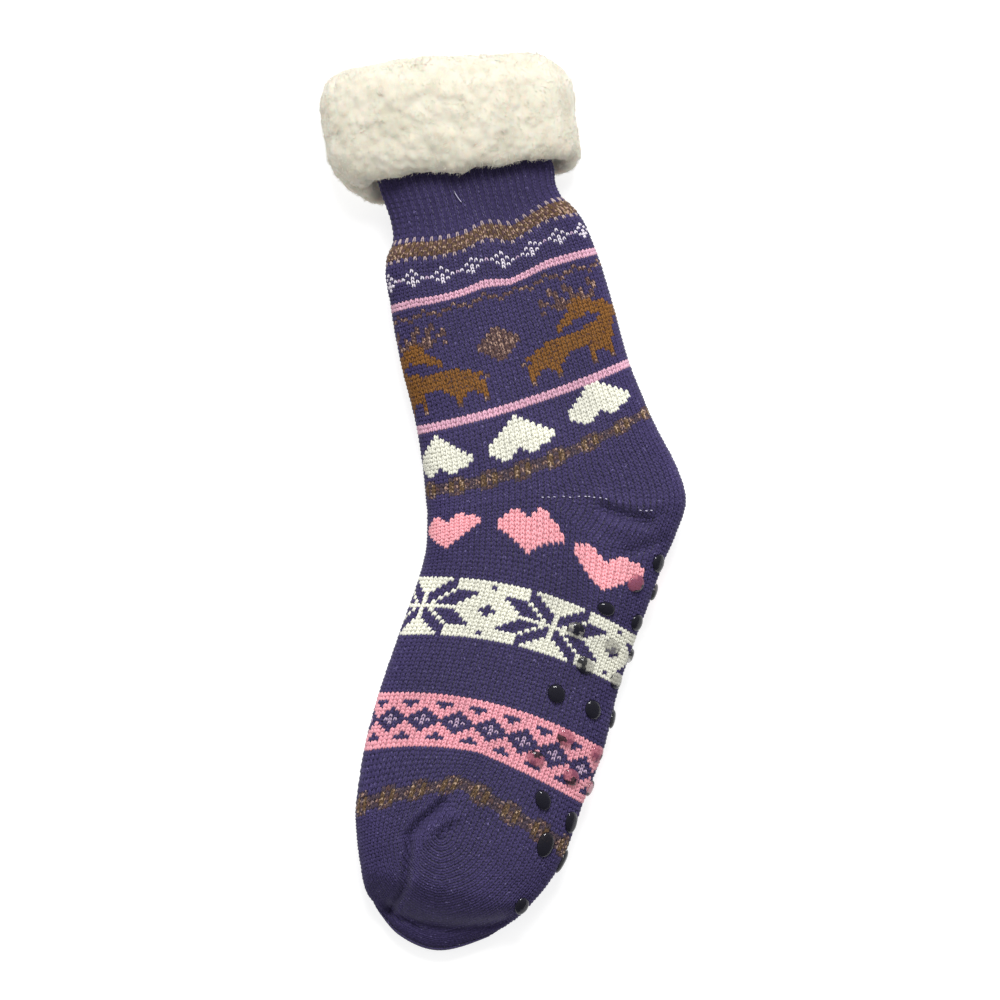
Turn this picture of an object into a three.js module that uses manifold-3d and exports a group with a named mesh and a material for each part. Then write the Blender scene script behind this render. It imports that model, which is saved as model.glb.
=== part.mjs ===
// A slipper sock: a thick jacquard-knit sock with a turned-down fleece cuff and
// silicone gripper dots under the foot. It lies slack on its side, as taken off:
// cuff towards +Y, heel and sole towards +X, +Z up, millimetres.

import * as THREE from 'three';
import Module from 'manifold-3d';
import { mergeVertices } from 'three/addons/utils/BufferGeometryUtils.js';

// Driving sizes of the knit sock, measured flat
const LEG_LENGTH = 182; // from the middle of the ankle to the rim of the knit
const LEG_HALF = 44; // half of the leg's flat width
const LEG_LEAN = 13; // degrees that the leg leans forward
const FOOT_LENGTH = 205; // from the middle of the ankle to the tip of the toe
const FOOT_HALF = 51; // half of the foot's flat width at the ball
const FOOT_LEAN = 12.4; // degrees that the foot leans forward
const LIE_HEIGHT = 38; // how high the slack foot lies
const WALL = 2.5; // knit fabric
const LEG_ROWS = 103; // knitted courses from rim to heel
const FOOT_ROWS = 80; // knitted courses from heel to toe

// Fleece cuff
const FLAP = 38; // length that is turned down outside
const RISE = 12; // how far the fold stands over the rim of the knit
const PILE = 15.4; // thickness of the turned-down fleece
const CUFF_UNDER = 9.5; // fleece pressed flat under the leg
const LINING = 4.5; // fleece inside the leg
const TUCK = 40; // depth of the lining that hangs inside
const REAR_DROP = 13; // extra length of the flap on the underside
const LOCK_RADIUS = 7.8; // a clump of fleece
const LOCK_SWAY = 0.06; // clumps differ by this share
const LOCKS_AROUND = 15;
const GAP = 0.3; // clearance between neighbouring pieces
const LOCK_DEPTH = LOCK_RADIUS * (1 + LOCK_SWAY) + 2 * GAP; // centre of a clump over the knit

// Gripper dots
const DOT_RADIUS = 4;
const DOT_HEIGHT = 1.2;
const DOT_LINE = 9.2; // distance between two lines of dots around the sole
const DOT_SIDES = 12;

// Form of every section
const ROUNDNESS = 2.4; // exponent of the flattened oval
const EDGE_LEVEL = 0.45; // height of the fold line, share of the section's height
const UNDER_FLATNESS = 1.25; // more than 1 presses the underside flat on the floor
const STEPS = 16; // facets from the upper to the lower side line

// The leg, one row for each section, from the rim down. Lengths run towards the
// cuff as shares of LEG_LENGTH, widths as shares of LEG_HALF, bow as the arch of
// a course towards the cuff. rise is a share of CUFF_UNDER, thick of LIE_HEIGHT.
const LEG_COLUMNS = ['row', 'frontUp', 'frontOut', 'midUp', 'midOut', 'backUp', 'backOut',
  'frontBow', 'backBow', 'rise', 'thick'];
const LEG = [
  [0, 1.018, -0.905, 1.000, -0.03, 0.977, 0.84, 0, 0, 1, 0.68],
  [24, 0.803, -0.855, 0.783, 0.02, 0.762, 0.89, 0, 0, 1, 0.70],
  [35, 0.670, -0.84, 0.675, 0.04, 0.684, 0.90, 0, 0, 0.85, 0.74],
  [38, 0.633, -0.94, 0.640, 0.05, 0.648, 1.00, 0, 0, 0.76, 0.84],
  [50, 0.520, -1.01, 0.530, 0.05, 0.546, 1.11, 0, 0, 0.45, 0.92],
  [65, 0.372, -1.04, 0.380, 0.06, 0.404, 1.16, 0, 0, 0.12, 0.98],
  [80, 0.222, -1.03, 0.227, 0.08, 0.266, 1.185, -0.02, -0.02, 0, 1.02],
  [90, 0.121, -1.06, 0.128, 0.07, 0.174, 1.24, -0.03, -0.03, 0, 1.08],
  [99, 0.044, -1.10, 0.039, 0.03, 0.116, 1.28, -0.03, -0.03, 0, 1.14],
  [103, 0.012, -1.116, 0, 0, 0.085, 1.31, -0.01, -0.03, 0, 1.16],
];

// The foot, from the heel down. Lengths run towards the toe as shares of
// FOOT_LENGTH, widths and bows as shares of FOOT_HALF.
const FOOT_COLUMNS = ['row', 'frontUp', 'frontOut', 'midUp', 'midOut', 'backUp', 'backOut',
  'frontBow', 'backBow', 'thick'];
const FOOT = [
  [0, 0.093, -0.89, 0, 0, 0.084, 1.195, 0, 0.095, 1.16],
  [10, 0.163, -0.836, 0.101, 0.08, 0.172, 1.15, 0.05, 0.07, 1.13],
  [20, 0.230, -0.84, 0.205, 0.134, 0.254, 1.103, 0.035, 0.035, 1.08],
  [35, 0.361, -0.905, 0.329, 0.073, 0.368, 1.05, 0.035, 0.035, 1.04],
  [51, 0.499, -0.966, 0.467, 0.034, 0.514, 1.034, 0.04, 0.04, 1.02],
  [66, 0.630, -0.983, 0.576, -0.013, 0.639, 0.957, 0.06, 0.06, 1.0],
  [74.5, 0.742, -0.948, 0.639, -0.09, 0.731, 0.914, 0.095, 0.095, 0.99],
  [80, 0.794, -0.897, 0.694, -0.165, 0.798, 0.845, 0.10, 0.10, 0.98],
];

// Outline of the heel pouch between the leg and the foot, and of the toe pouch
// from the sole round the tip to its seam. The columns are turn, up, out and bow:
// turn runs from 0 to 1, up is a share of FOOT_LENGTH, out and bow of FOOT_HALF.
const HEEL = [
  [0.33, -0.111, 1.147, -0.01],
  [0.55, -0.052, 1.267, 0],
  [0.77, 0.015, 1.25, 0.03],
];
const TOE_CAP = [
  [0.083, 0.834, 0.784, 0.08],
  [0.27, 0.910, 0.595, 0.03],
  [0.42, 0.955, 0.388, 0],
  [0.65, 1.004, 0, 0],
  [0.84, 0.989, -0.345, 0.04],
  [1, 0.944, -0.586, 0.095],
];
const TOE_TOP = [
  [0.38, 0.856, -0.81, 0.10],
  [0.76, 0.916, -0.703, 0.10],
  [1, 0.944, -0.586, 0.095],
];

// Courses where the facets bend, and the steps through the pouches
const LEG_RINGS = [0, 8, 16, 24, 30, 35, 38, 44, 50, 58, 65, 73, 80, 85, 90, 95, 99, 103];
const FOOT_RINGS = [0, 5, 10, 15, 20, 28, 35, 43, 51, 59, 66, 70, 74.5, 80];
const HEEL_STEPS = 6;
const CAP_STEPS = 9;
const TOP_STEPS = 3;

// Outer side of the cuff from its lower lip over the fold. The columns are down,
// a share of FLAP below the rim of the knit or of RISE above it, and out, of PILE.
const CUFF_OUTSIDE = [
  [1.00, 0.15],
  [0.98, 0.52],
  [0.87, 0.82],
  [0.64, 0.98],
  [0.32, 1.00],
  [0.04, 0.96],
  [-0.45, 0.80],
  [-0.82, 0.53],
  [-1.00, 0.16],
  [-0.92, -0.16],
  [-0.58, -0.36],
];
const CUFF_RINGS = [0, 8, 16, 24]; // courses that the cuff's inner faces follow
const LOCK_BELTS = [0.84, 0.5, 0.15, -0.4]; // down, as in the table above

// Dots: sole line on either side of the middle, and their courses along the foot
const DOT_LINES = [
  { line: 0, rows: [8, 26, 43, 61, 77] },
  { line: 1, rows: [1.5, 17, 34, 52, 70] },
  { line: 2, rows: [8, 26, 43, 61, 77] },
  { line: 3, rows: [17, 34, 52, 70] },
  { line: 4, rows: [26, 43, 61] },
];
const TOE_DOT_TURN = 0.2; // one dot more on each side, on the toe pouch
const GRIP_FROM = 0.12; // the sole side is lifted by its dots from this share
const GRIP_TO = 0.34; // to this share of the half width

const COLOURS = { knit: 0x4e4570, fleece: 0xf3efe2, silicone: 0x2c2a5c };

const radians = THREE.MathUtils.degToRad;
const LEG_UP = new THREE.Vector2(-Math.sin(radians(LEG_LEAN)), Math.cos(radians(LEG_LEAN)));
const LEG_BACK = new THREE.Vector2(LEG_UP.y, -LEG_UP.x);
const FOOT_DOWN = new THREE.Vector2(-Math.sin(radians(FOOT_LEAN)), -Math.cos(radians(FOOT_LEAN)));
const FOOT_BACK = new THREE.Vector2(-FOOT_DOWN.y, FOOT_DOWN.x);
const DOT_LIFT = DOT_HEIGHT + GAP;

function smoothstep(from, to, value) {
  const share = Math.min(1, Math.max(0, (value - from) / (to - from)));
  return share * share * (3 - 2 * share);
}

// A smooth curve through (keys, values), straight beyond its ends
function through(keys, values, at) {
  const last = keys.length - 1;
  const slope = (i) => (values[i + 1] - values[i]) / (keys[i + 1] - keys[i]);
  if (at <= keys[0]) return values[0] + slope(0) * (at - keys[0]);
  if (at >= keys[last]) return values[last] + slope(last - 1) * (at - keys[last]);
  let i = 0;
  while (at > keys[i + 1]) i += 1;
  const before = i > 0 ? (slope(i - 1) + slope(i)) / 2 : slope(i);
  const after = i + 1 < last ? (slope(i) + slope(i + 1)) / 2 : slope(i);
  const step = keys[i + 1] - keys[i];
  const t = (at - keys[i]) / step;
  return values[i] + t * step * before * (1 - t) ** 2 - t * t * step * after * (1 - t)
    + t * t * (3 - 2 * t) * (values[i + 1] - values[i]);
}

function column(table, columns, name) {
  const index = columns.indexOf(name);
  return table.map((row) => row[index]);
}

function reader(table, columns) {
  const keys = column(table, columns, columns[0]);
  return (name, at) => through(keys, column(table, columns, name), at);
}

const leg = reader(LEG, LEG_COLUMNS);
const foot = reader(FOOT, FOOT_COLUMNS);

// A half section: from the side line mid out to the fold line edge, arched by bow
function legHalf(row, side) {
  const place = (name) => LEG_UP.clone().multiplyScalar(leg(`${name}Up`, row) * LEG_LENGTH)
    .addScaledVector(LEG_BACK, leg(`${name}Out`, row) * LEG_HALF);
  return {
    mid: place('mid'),
    edge: place(side),
    bow: LEG_UP.clone().multiplyScalar(leg(`${side}Bow`, row) * LEG_HALF),
    base: Math.max(0, leg('rise', Math.max(0, row))) * CUFF_UNDER,
    thick: leg('thick', Math.max(0, row)) * LIE_HEIGHT,
    grip: 0,
  };
}

function footPoint(up, out) {
  return FOOT_DOWN.clone().multiplyScalar(up * FOOT_LENGTH)
    .addScaledVector(FOOT_BACK, out * FOOT_HALF);
}

function footHalf(row, side) {
  return {
    mid: footPoint(foot('midUp', row), foot('midOut', row)),
    edge: footPoint(foot(`${side}Up`, row), foot(`${side}Out`, row)),
    bow: FOOT_DOWN.clone().multiplyScalar(-foot(`${side}Bow`, row) * FOOT_HALF),
    base: 0,
    thick: foot('thick', row) * LIE_HEIGHT,
    grip: side === 'back' ? 1 : 0,
  };
}

// A half section of a pouch turns about its side line, from the section start to
// the section end, or to its own last row where there is no end
function pouchHalf(table, start, end, gripStart, gripEnd) {
  const rows = table.map(([turn, up, out, bow]) => ({
    turn,
    edge: footPoint(up, out),
    bow: FOOT_DOWN.clone().multiplyScalar(-bow * FOOT_HALF),
  }));
  rows.unshift({ turn: 0, edge: start.edge, bow: start.bow });
  if (end) rows.push({ turn: 1, edge: end.edge, bow: end.bow });
  const keys = rows.map((row) => row.turn);
  const curve = (name, axis, turn) => through(keys, rows.map((row) => row[name][axis]), turn);
  return (turn) => ({
    mid: start.mid,
    edge: new THREE.Vector2(curve('edge', 'x', turn), curve('edge', 'y', turn)),
    bow: new THREE.Vector2(curve('bow', 'x', turn), curve('bow', 'y', turn)),
    base: start.base,
    thick: start.thick,
    grip: gripStart + (gripEnd - gripStart) * smoothstep(0.35, 0.75, turn),
  });
}

const legEnd = legHalf(LEG_ROWS, 'back');
const footStart = footHalf(0, 'back');
const toeStart = { front: footHalf(FOOT_ROWS, 'front'), back: footHalf(FOOT_ROWS, 'back') };
const heelHalf = pouchHalf(HEEL, legEnd, footStart, 0, 1);
const capHalf = pouchHalf(TOE_CAP, toeStart.back, null, 1, 0);
const topHalf = pouchHalf(TOE_TOP, toeStart.front, null, 0, 0);

// Point of a half section. angle is 90 degrees on the upper side line, 0 on the
// fold and -90 on the lower side line, and out moves the point off the surface.
function pointOn(half, angle, out) {
  const power = 2 / ROUNDNESS;
  const across = Math.abs(Math.cos(angle)) ** power;
  const level = Math.abs(Math.sin(angle)) ** power;
  const reach = half.edge.clone().sub(half.mid);
  const width = reach.length();
  const plan = half.mid.clone()
    .addScaledVector(reach, across * (width + out) / width)
    .addScaledVector(half.bow, 4 * across * (1 - across));
  const fold = half.thick * EDGE_LEVEL;
  if (angle >= 0) {
    const top = half.base + fold + (half.thick - fold + out) * level;
    return new THREE.Vector3(plan.x, plan.y, top);
  }
  const lift = half.grip * DOT_LIFT * smoothstep(GRIP_FROM, GRIP_TO, across);
  const pressed = half.base + lift - out;
  const round = half.base + fold - UNDER_FLATNESS * (fold + out) * level;
  return new THREE.Vector3(plan.x, plan.y, Math.max(0, pressed, round));
}

function ring(half, out) {
  const points = [];
  for (let i = 0; i <= STEPS; i += 1) {
    const point = pointOn(half, Math.PI / 2 - (Math.PI * i) / STEPS, out);
    points.push(point);
  }
  return points;
}

// Triangle soup that leaves out what has no area
class Soup {
  constructor() {
    this.corners = [];
  }

  triangle(a, b, c) {
    const flat = 1e-5;
    if (a.distanceTo(b) < flat || b.distanceTo(c) < flat || c.distanceTo(a) < flat) return;
    this.corners.push(a, b, c);
  }

  quad(a, b, c, d) {
    this.triangle(a, b, c);
    this.triangle(a, c, d);
  }

  // Quads between two rows of points, facing the side that flip chooses
  strip(one, two, flip) {
    for (let i = 0; i + 1 < one.length; i += 1) {
      if (flip) this.quad(one[i], one[i + 1], two[i + 1], two[i]);
      else this.quad(one[i], two[i], two[i + 1], one[i + 1]);
    }
  }

  geometry() {
    const soup = new THREE.BufferGeometry().setFromPoints(this.corners);
    return mergeVertices(soup, 1e-4);
  }
}

function steps(count) {
  return Array.from({ length: count }, (_, i) => (i + 1) / count);
}

// Half sections from the rim of the knit to the toe seam
const FRONT_HALVES = [
  ...LEG_RINGS.map((row) => legHalf(row, 'front')),
  ...FOOT_RINGS.slice(1).map((row) => footHalf(row, 'front')),
  ...steps(TOP_STEPS).map(topHalf),
];
const BACK_HALVES = [
  ...LEG_RINGS.map((row) => legHalf(row, 'back')),
  ...steps(HEEL_STEPS).map(heelHalf),
  ...FOOT_RINGS.slice(1).map((row) => footHalf(row, 'back')),
  ...steps(CAP_STEPS).map(capHalf),
];

// Knit upper: one shell of leg, heel pouch, foot and toe pouch, open at the rim
function knitUpper() {
  const soup = new Soup();
  [FRONT_HALVES, BACK_HALVES].forEach((halves, isBack) => {
    const outer = halves.map((half) => ring(half, 0));
    const inner = halves.map((half) => ring(half, -WALL));
    for (let i = 0; i + 1 < halves.length; i += 1) {
      soup.strip(outer[i], outer[i + 1], !isBack);
      soup.strip(inner[i], inner[i + 1], Boolean(isBack));
    }
    soup.strip(outer[0], inner[0], Boolean(isBack));
  });
  return soup.geometry();
}

// Course that lies down millimetres below the rim of the knit
function courseAt(down) {
  const covered = CUFF_RINGS[CUFF_RINGS.length - 1];
  const length = (leg('midUp', 0) - leg('midUp', covered)) * LEG_LENGTH;
  return (down / length) * covered;
}

// Full section of the leg as one closed row of points, round by the back fold
function loop(row, out) {
  const back = ring(legHalf(row, 'back'), out);
  const front = ring(legHalf(row, 'front'), out);
  return [...back, ...front.slice(1, -1).reverse()];
}

// The flap hangs lower on the underside, most towards the front
function rearDrop(index) {
  const turn = (index / (2 * STEPS)) * 2 * Math.PI;
  const under = Math.max(0, -Math.cos(turn));
  const frontwards = 0.75 - 0.25 * Math.sin(turn);
  return REAR_DROP * under ** 0.6 * frontwards;
}

function cuffLoop(down, out) {
  if (down < 0) return loop(courseAt(down * RISE), out * PILE);
  const count = 2 * STEPS;
  const points = [];
  for (let i = 0; i < count; i += 1) {
    const drop = down * (FLAP + rearDrop(i));
    points.push(loop(courseAt(drop), out * PILE)[i]);
  }
  return points;
}

// Fleece cuff: an upside-down U of fleece over the rim of the knit
function cuffBody() {
  const outside = CUFF_OUTSIDE.map(([down, out]) => cuffLoop(down, out));
  const inner = -(WALL + GAP);
  const tuckRow = courseAt(TUCK);
  const courses = CUFF_RINGS.filter((row) => row > 0 && row < tuckRow);
  const inside = [
    ...[courseAt(-GAP), ...courses, tuckRow].map((row) => loop(row, inner - LINING)),
    loop(tuckRow, inner),
    ...[...courses].reverse().map((row) => loop(row, inner)),
    loop(courseAt(-GAP), inner),
    loop(courseAt(-GAP), GAP),
    ...CUFF_RINGS.slice(1).map((row) => loop(row, GAP)),
  ];
  const rows = [...outside, ...inside];
  const soup = new Soup();
  rows.forEach((row, i) => {
    const next = rows[(i + 1) % rows.length];
    soup.strip([...row, row[0]], [...next, next[0]], true);
  });
  return soup.geometry();
}

// Clumps of fleece stand out of the flap in staggered belts
function cuffLocks() {
  const locks = [];
  LOCK_BELTS.forEach((down, belt) => {
    for (let i = 0; i < LOCKS_AROUND; i += 1) {
      const share = (i + (belt % 2) / 2) / LOCKS_AROUND;
      const index = Math.round(share * 2 * STEPS) % (2 * STEPS);
      const centre = cuffLoop(down, LOCK_DEPTH / PILE)[index];
      const radius = LOCK_RADIUS * (1 + LOCK_SWAY * Math.sin(5 * i + 3 * belt));
      if (centre.z > radius) {
        const lock = new THREE.IcosahedronGeometry(radius, 1);
        lock.rotateZ(i + belt);
        lock.translate(centre.x, centre.y, centre.z);
        locks.push(lock);
      }
    }
  });
  return locks;
}

const wasm = await Module();
wasm.setup();

function solid(geometry) {
  const bare = geometry.clone();
  bare.deleteAttribute('normal');
  bare.deleteAttribute('uv');
  const merged = mergeVertices(bare, 1e-4);
  return new wasm.Manifold(new wasm.Mesh({
    numProp: 3,
    vertProperties: new Float32Array(merged.attributes.position.array),
    triVerts: new Uint32Array(merged.index.array),
  }));
}

function geometryOf(manifold) {
  const mesh = manifold.getMesh();
  const geometry = new THREE.BufferGeometry();
  geometry.setAttribute('position', new THREE.BufferAttribute(mesh.vertProperties, 3));
  geometry.setIndex(new THREE.BufferAttribute(mesh.triVerts, 1));
  return geometry;
}

function fleeceCuff() {
  let cuff = solid(cuffBody());
  for (const lock of cuffLocks()) cuff = cuff.add(solid(lock));
  return geometryOf(cuff);
}

// Point at a distance round the sole from the fold of a half section, positive
// on the upper side, lifted off the knit along its normal
function roundSole(half, distance, lift) {
  const turn = radians(1) * Math.sign(distance || 1);
  let angle = 0;
  let left = Math.abs(distance);
  let here = pointOn(half, 0, 0);
  while (left > 0) {
    const next = pointOn(half, angle + turn, 0);
    const length = next.distanceTo(here);
    if (length >= left) {
      angle += (turn * left) / length;
      left = 0;
    } else {
      angle += turn;
      left -= length;
      here = next;
    }
  }
  return pointOn(half, angle, lift);
}

// A dot is a low dome whose foot follows the knit. perLength turns a length
// along the sole into courses, or into a share of the toe pouch's turn.
function dot(halfAt, distance, perLength) {
  const place = (radius, lift, spin) => {
    const half = halfAt(radius * Math.sin(spin) * perLength);
    return roundSole(half, distance + radius * Math.cos(spin), GAP + lift);
  };
  const circle = (radius, lift) => Array.from(
    { length: DOT_SIDES + 1 },
    (_, i) => place(radius, lift, (2 * Math.PI * (i % DOT_SIDES)) / DOT_SIDES),
  );
  const foot0 = circle(DOT_RADIUS, 0);
  const shoulder = circle(0.8 * DOT_RADIUS, 0.85 * DOT_HEIGHT);
  const soup = new Soup();
  soup.strip(Array(DOT_SIDES + 1).fill(place(0, 0, 0)), foot0, true);
  soup.strip(foot0, shoulder, true);
  soup.strip(shoulder, Array(DOT_SIDES + 1).fill(place(0, DOT_HEIGHT, 0)), true);
  return soup.geometry();
}

function gripperDots() {
  const dots = [];
  const soleLength = (foot('backUp', FOOT_ROWS) - foot('backUp', 0)) * FOOT_LENGTH;
  for (const { line, rows } of DOT_LINES) {
    for (const side of line ? [1, -1] : [1]) {
      for (const row of rows) {
        const halfAt = (shift) => footHalf(row + shift, 'back');
        dots.push(dot(halfAt, side * line * DOT_LINE, FOOT_ROWS / soleLength));
      }
    }
  }
  const capLength = 2 * FOOT_HALF;
  for (const side of [1, -1]) {
    dots.push(dot((shift) => capHalf(TOE_DOT_TURN + shift), side * DOT_LINE, 1 / capLength));
  }
  return dots;
}

function material(colour, roughness) {
  return new THREE.MeshStandardMaterial({ color: colour, roughness, metalness: 0 });
}

const sock = new THREE.Group();

function add(name, geometry, colour, roughness) {
  const mesh = new THREE.Mesh(geometry, material(colour, roughness));
  mesh.name = name;
  sock.add(mesh);
}

add('knit_upper', knitUpper(), COLOURS.knit, 0.95);
add('fleece_cuff', fleeceCuff(), COLOURS.fleece, 1);
gripperDots().forEach((geometry, i) => {
  add(`gripper_dot_${String(i + 1).padStart(2, '0')}`, geometry, COLOURS.silicone, 0.25);
});

// The origin is under the middle of the sock, on the floor
const box = new THREE.Box3().setFromObject(sock);
const centre = box.getCenter(new THREE.Vector3());
sock.position.set(-centre.x, -centre.y, -box.min.z);

export default sock;
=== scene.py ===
"""Looks of the slipper sock: knitted stitches, curly fleece cuff and clear dots."""
import math

import bpy
import numpy as np
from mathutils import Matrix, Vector


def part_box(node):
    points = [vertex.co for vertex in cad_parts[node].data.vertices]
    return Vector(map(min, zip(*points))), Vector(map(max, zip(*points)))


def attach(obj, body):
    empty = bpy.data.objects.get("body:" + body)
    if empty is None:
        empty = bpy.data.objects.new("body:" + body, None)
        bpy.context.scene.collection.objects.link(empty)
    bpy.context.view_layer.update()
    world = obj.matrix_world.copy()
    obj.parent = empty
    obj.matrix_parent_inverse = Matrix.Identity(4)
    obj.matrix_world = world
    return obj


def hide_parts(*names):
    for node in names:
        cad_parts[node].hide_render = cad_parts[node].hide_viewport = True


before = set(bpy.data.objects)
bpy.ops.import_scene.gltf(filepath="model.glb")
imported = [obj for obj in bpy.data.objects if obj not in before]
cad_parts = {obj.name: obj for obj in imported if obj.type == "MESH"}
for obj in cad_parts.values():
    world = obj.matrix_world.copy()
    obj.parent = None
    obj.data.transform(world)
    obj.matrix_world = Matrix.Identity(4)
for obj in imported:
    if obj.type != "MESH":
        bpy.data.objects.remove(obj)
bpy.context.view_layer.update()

MM = 0.001

# Driving sizes of the sock, millimetres, as in the solid model
LEG_LENGTH = 182
LEG_HALF = 44
LEG_LEAN = math.radians(13)
FOOT_LENGTH = 205
FOOT_HALF = 51
FOOT_LEAN = math.radians(12.4)
LIE_HEIGHT = 38
WALL = 2.5
LEG_ROWS = 103
FOOT_ROWS = 80
FLAP = 38
RISE = 12
PILE = 15.4
CUFF_UNDER = 9.5
LINING = 4.5
TUCK = 40
REAR_DROP = 13
GAP = 0.3
DOT_RADIUS = 4
DOT_HEIGHT = 1.2
DOT_LINE = 9.2
ROUNDNESS = 2.4
EDGE_LEVEL = 0.45
UNDER_FLATNESS = 1.25
GRIP_FROM = 0.12
GRIP_TO = 0.34
CUFF_COURSES = 24  # courses that the cuff covers

# Sections of the leg and the foot, as in the solids
LEG_COLUMNS = ["row", "frontUp", "frontOut", "midUp", "midOut", "backUp", "backOut",
               "frontBow", "backBow", "rise", "thick"]
LEG = [
    [0, 1.018, -0.905, 1.000, -0.03, 0.977, 0.84, 0, 0, 1, 0.68],
    [24, 0.803, -0.855, 0.783, 0.02, 0.762, 0.89, 0, 0, 1, 0.70],
    [35, 0.670, -0.84, 0.675, 0.04, 0.684, 0.90, 0, 0, 0.85, 0.74],
    [38, 0.633, -0.94, 0.640, 0.05, 0.648, 1.00, 0, 0, 0.76, 0.84],
    [50, 0.520, -1.01, 0.530, 0.05, 0.546, 1.11, 0, 0, 0.45, 0.92],
    [65, 0.372, -1.04, 0.380, 0.06, 0.404, 1.16, 0, 0, 0.12, 0.98],
    [80, 0.222, -1.03, 0.227, 0.08, 0.266, 1.185, -0.02, -0.02, 0, 1.02],
    [90, 0.121, -1.06, 0.128, 0.07, 0.174, 1.24, -0.03, -0.03, 0, 1.08],
    [99, 0.044, -1.10, 0.039, 0.03, 0.116, 1.28, -0.03, -0.03, 0, 1.14],
    [103, 0.012, -1.116, 0, 0, 0.085, 1.31, -0.01, -0.03, 0, 1.16],
]
FOOT_COLUMNS = ["row", "frontUp", "frontOut", "midUp", "midOut", "backUp", "backOut",
                "frontBow", "backBow", "thick"]
FOOT = [
    [0, 0.093, -0.89, 0, 0, 0.084, 1.195, 0, 0.095, 1.16],
    [10, 0.163, -0.836, 0.101, 0.08, 0.172, 1.15, 0.05, 0.07, 1.13],
    [20, 0.230, -0.84, 0.205, 0.134, 0.254, 1.103, 0.035, 0.035, 1.08],
    [35, 0.361, -0.905, 0.329, 0.073, 0.368, 1.05, 0.035, 0.035, 1.04],
    [51, 0.499, -0.966, 0.467, 0.034, 0.514, 1.034, 0.04, 0.04, 1.02],
    [66, 0.630, -0.983, 0.576, -0.013, 0.639, 0.957, 0.06, 0.06, 1.0],
    [74.5, 0.742, -0.948, 0.639, -0.09, 0.731, 0.914, 0.095, 0.095, 0.99],
    [80, 0.794, -0.897, 0.694, -0.165, 0.798, 0.845, 0.10, 0.10, 0.98],
]
# Courses of stitches: the same as the foot's first sections, then less bowed
COURSE_ROWS = 87
COURSES = FOOT[:5] + [
    [66, 0.630, -0.983, 0.576, -0.013, 0.639, 0.957, 0.05, 0.015, 1.0],
    [74.5, 0.742, -0.948, 0.639, -0.09, 0.731, 0.914, 0.03, 0, 0.99],
    [81, 0.790, -0.901, 0.700, -0.140, 0.787, 0.861, 0.03, 0, 0.98],
    [87, 0.832, -0.848, 0.757, -0.178, 0.834, 0.784, 0.04, 0.02, 0.96],
]
# Droop of the sole's courses below the heel: course, share of the half foot
FAN = [(0, 0.23), (10, 0.15), (20, 0.0), (COURSE_ROWS, 0.0)]
# Edges of the pouches: share of the turn, up, out and bow. HEEL and TOE_CAP are
# the solids', and the others are the courses' own
HEEL = [
    [0.33, -0.111, 1.147, -0.01],
    [0.55, -0.052, 1.267, 0],
    [0.77, 0.015, 1.25, 0.03],
]
TOE_CAP = [
    [0.083, 0.834, 0.784, 0.08],
    [0.27, 0.910, 0.595, 0.03],
    [0.42, 0.955, 0.388, 0],
    [0.65, 1.004, 0, 0],
    [0.84, 0.989, -0.345, 0.04],
    [1, 0.944, -0.586, 0.095],
]
COURSES_CAP = [
    [0.20, 0.910, 0.595, 0.03],
    [0.37, 0.955, 0.388, 0],
    [0.62, 1.004, 0, 0],
    [0.83, 0.989, -0.345, 0.04],
    [1, 0.944, -0.586, 0.06],
]
COURSES_TOP = [
    [0.2, 0.856, -0.81, 0.05],
    [0.69, 0.916, -0.703, 0.06],
    [1, 0.944, -0.586, 0.06],
]
CUFF_OUTSIDE = [
    [1.00, 0.15], [0.98, 0.52], [0.87, 0.82], [0.64, 0.98], [0.32, 1.00], [0.04, 0.96],
    [-0.45, 0.80], [-0.82, 0.53], [-1.00, 0.16], [-0.92, -0.16], [-0.58, -0.36],
]
DOT_LINES = [
    (0, [8, 26, 43, 61, 77]),
    (1, [1.5, 17, 34, 52, 70]),
    (2, [8, 26, 43, 61, 77]),
    (3, [17, 34, 52, 70]),
    (4, [26, 43, 61]),
]
TOE_DOT_TURN = 0.2
DOT_LIFT = DOT_HEIGHT + GAP

LEG_UP = np.array([-math.sin(LEG_LEAN), math.cos(LEG_LEAN)])
LEG_BACK = np.array([LEG_UP[1], -LEG_UP[0]])
FOOT_DOWN = np.array([-math.sin(FOOT_LEAN), -math.cos(FOOT_LEAN)])
FOOT_BACK = np.array([-FOOT_DOWN[1], FOOT_DOWN[0]])


def smoothstep(low, high, value):
    """0 at low and 1 at high; low may be the larger of the two."""
    share = np.clip((value - low) / (high - low), 0, 1)
    return share * share * (3 - 2 * share)


def through(keys, values, at):
    """A smooth curve through (keys, values), straight beyond its ends."""
    keys = np.asarray(keys, float)
    values = np.asarray(values, float)
    at = np.asarray(at, float)
    slopes = np.diff(values) / np.diff(keys)
    ends = np.concatenate([slopes[:1], (slopes[:-1] + slopes[1:]) / 2, slopes[-1:]])
    i = np.clip(np.searchsorted(keys, at, side="right") - 1, 0, len(keys) - 2)
    step = keys[i + 1] - keys[i]
    t = (at - keys[i]) / step
    curve = (values[i] + t * step * ends[i] * (1 - t) ** 2 - t * t * step * ends[i + 1] * (1 - t)
             + t * t * (3 - 2 * t) * (values[i + 1] - values[i]))
    curve = np.where(at < keys[0], values[0] + slopes[0] * (at - keys[0]), curve)
    return np.where(at > keys[-1], values[-1] + slopes[-1] * (at - keys[-1]), curve)


def reader(table, columns):
    """A function that reads a named column at any row."""
    keys = [row[0] for row in table]
    return lambda name, at: through(keys, [row[columns.index(name)] for row in table], at)


leg = reader(LEG, LEG_COLUMNS)
foot = reader(FOOT, FOOT_COLUMNS)
courses = reader(COURSES, FOOT_COLUMNS)


def on_axes(along, out, axis_along, axis_out):
    """Places in plan from distances along two axes."""
    return np.multiply.outer(along, axis_along) + np.multiply.outer(out, axis_out)


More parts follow.
